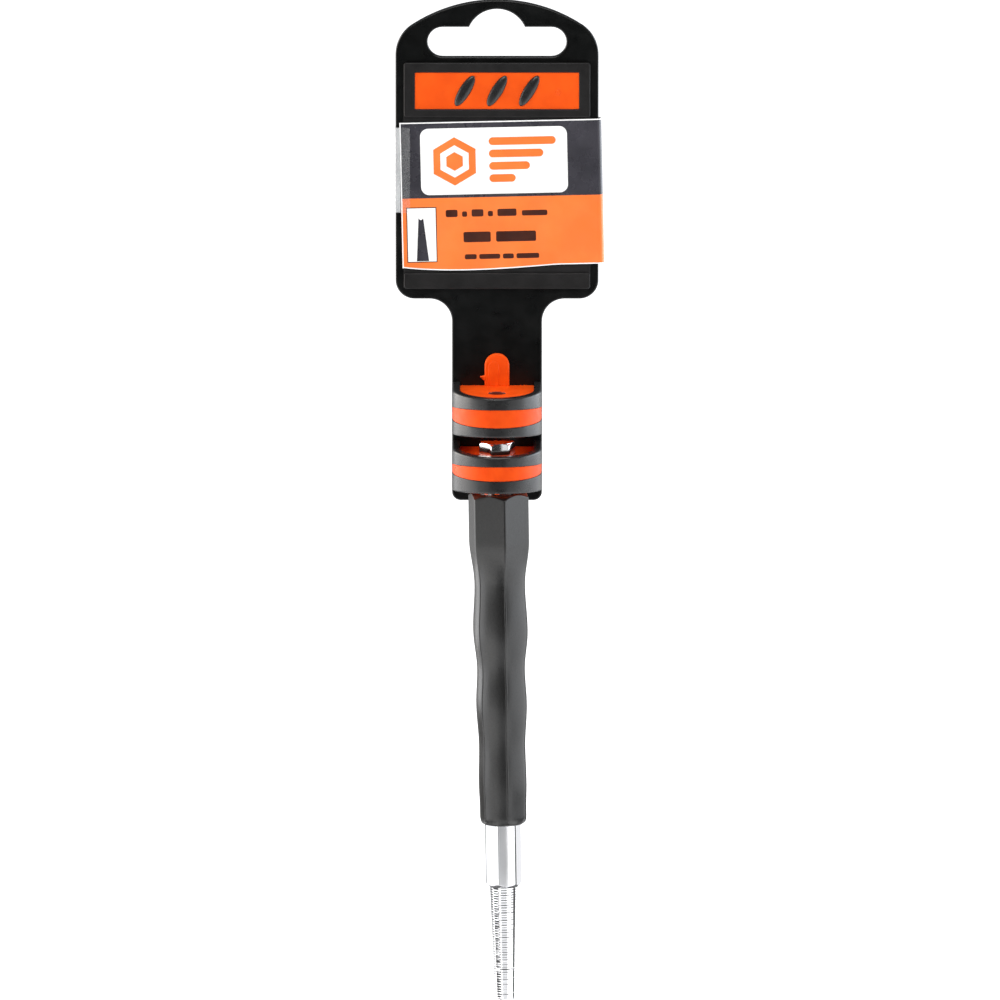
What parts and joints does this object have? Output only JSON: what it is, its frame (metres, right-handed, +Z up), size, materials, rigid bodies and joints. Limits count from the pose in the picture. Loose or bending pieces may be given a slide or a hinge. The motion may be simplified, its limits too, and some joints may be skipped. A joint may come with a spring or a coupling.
{
  "type": "nail setter",
  "caption": "Nail punch with a hexagonal bar, a wavy soft grip and a cupped tip, held by its struck end in a moulded hanger with ringed membranes, a colour window and a taped label.",
  "frame": {"origin": "where the crown of the hanger's slot rests on a peg, at half the plate's thickness", "axes": "+X to the right of the printed side, +Y to the back of the plate, +Z up"},
  "size_m": [0.0462, 0.0193, 0.2221],
  "materials": {
    "hanger_black": "satin moulded polypropylene",
    "insert_orange": "satin soft elastomer",
    "window_orange": "satin soft elastomer",
    "punch_chrome": "bright plated steel",
    "grip_black": "matt, finely grained",
    "label_print": "printed card",
    "clear_tape": "clear film"
  },
  "bodies": {
    "hanger": {"hanger_plate": "hanger_black", "window_strip": "window_orange", "ring_insert": "insert_orange", "label_card": "label_print", "label_tape": "clear_tape"},
    "punch": {"punch_bar": "punch_chrome", "grip_sleeve": "grip_black"}
  },
  "joints": [
    {"name": "punch_pull", "type": "slide", "parent": "hanger", "child": "punch", "axis": [0.015, 0, -0.9999], "range_m": [0, 0.022]}
  ]
}
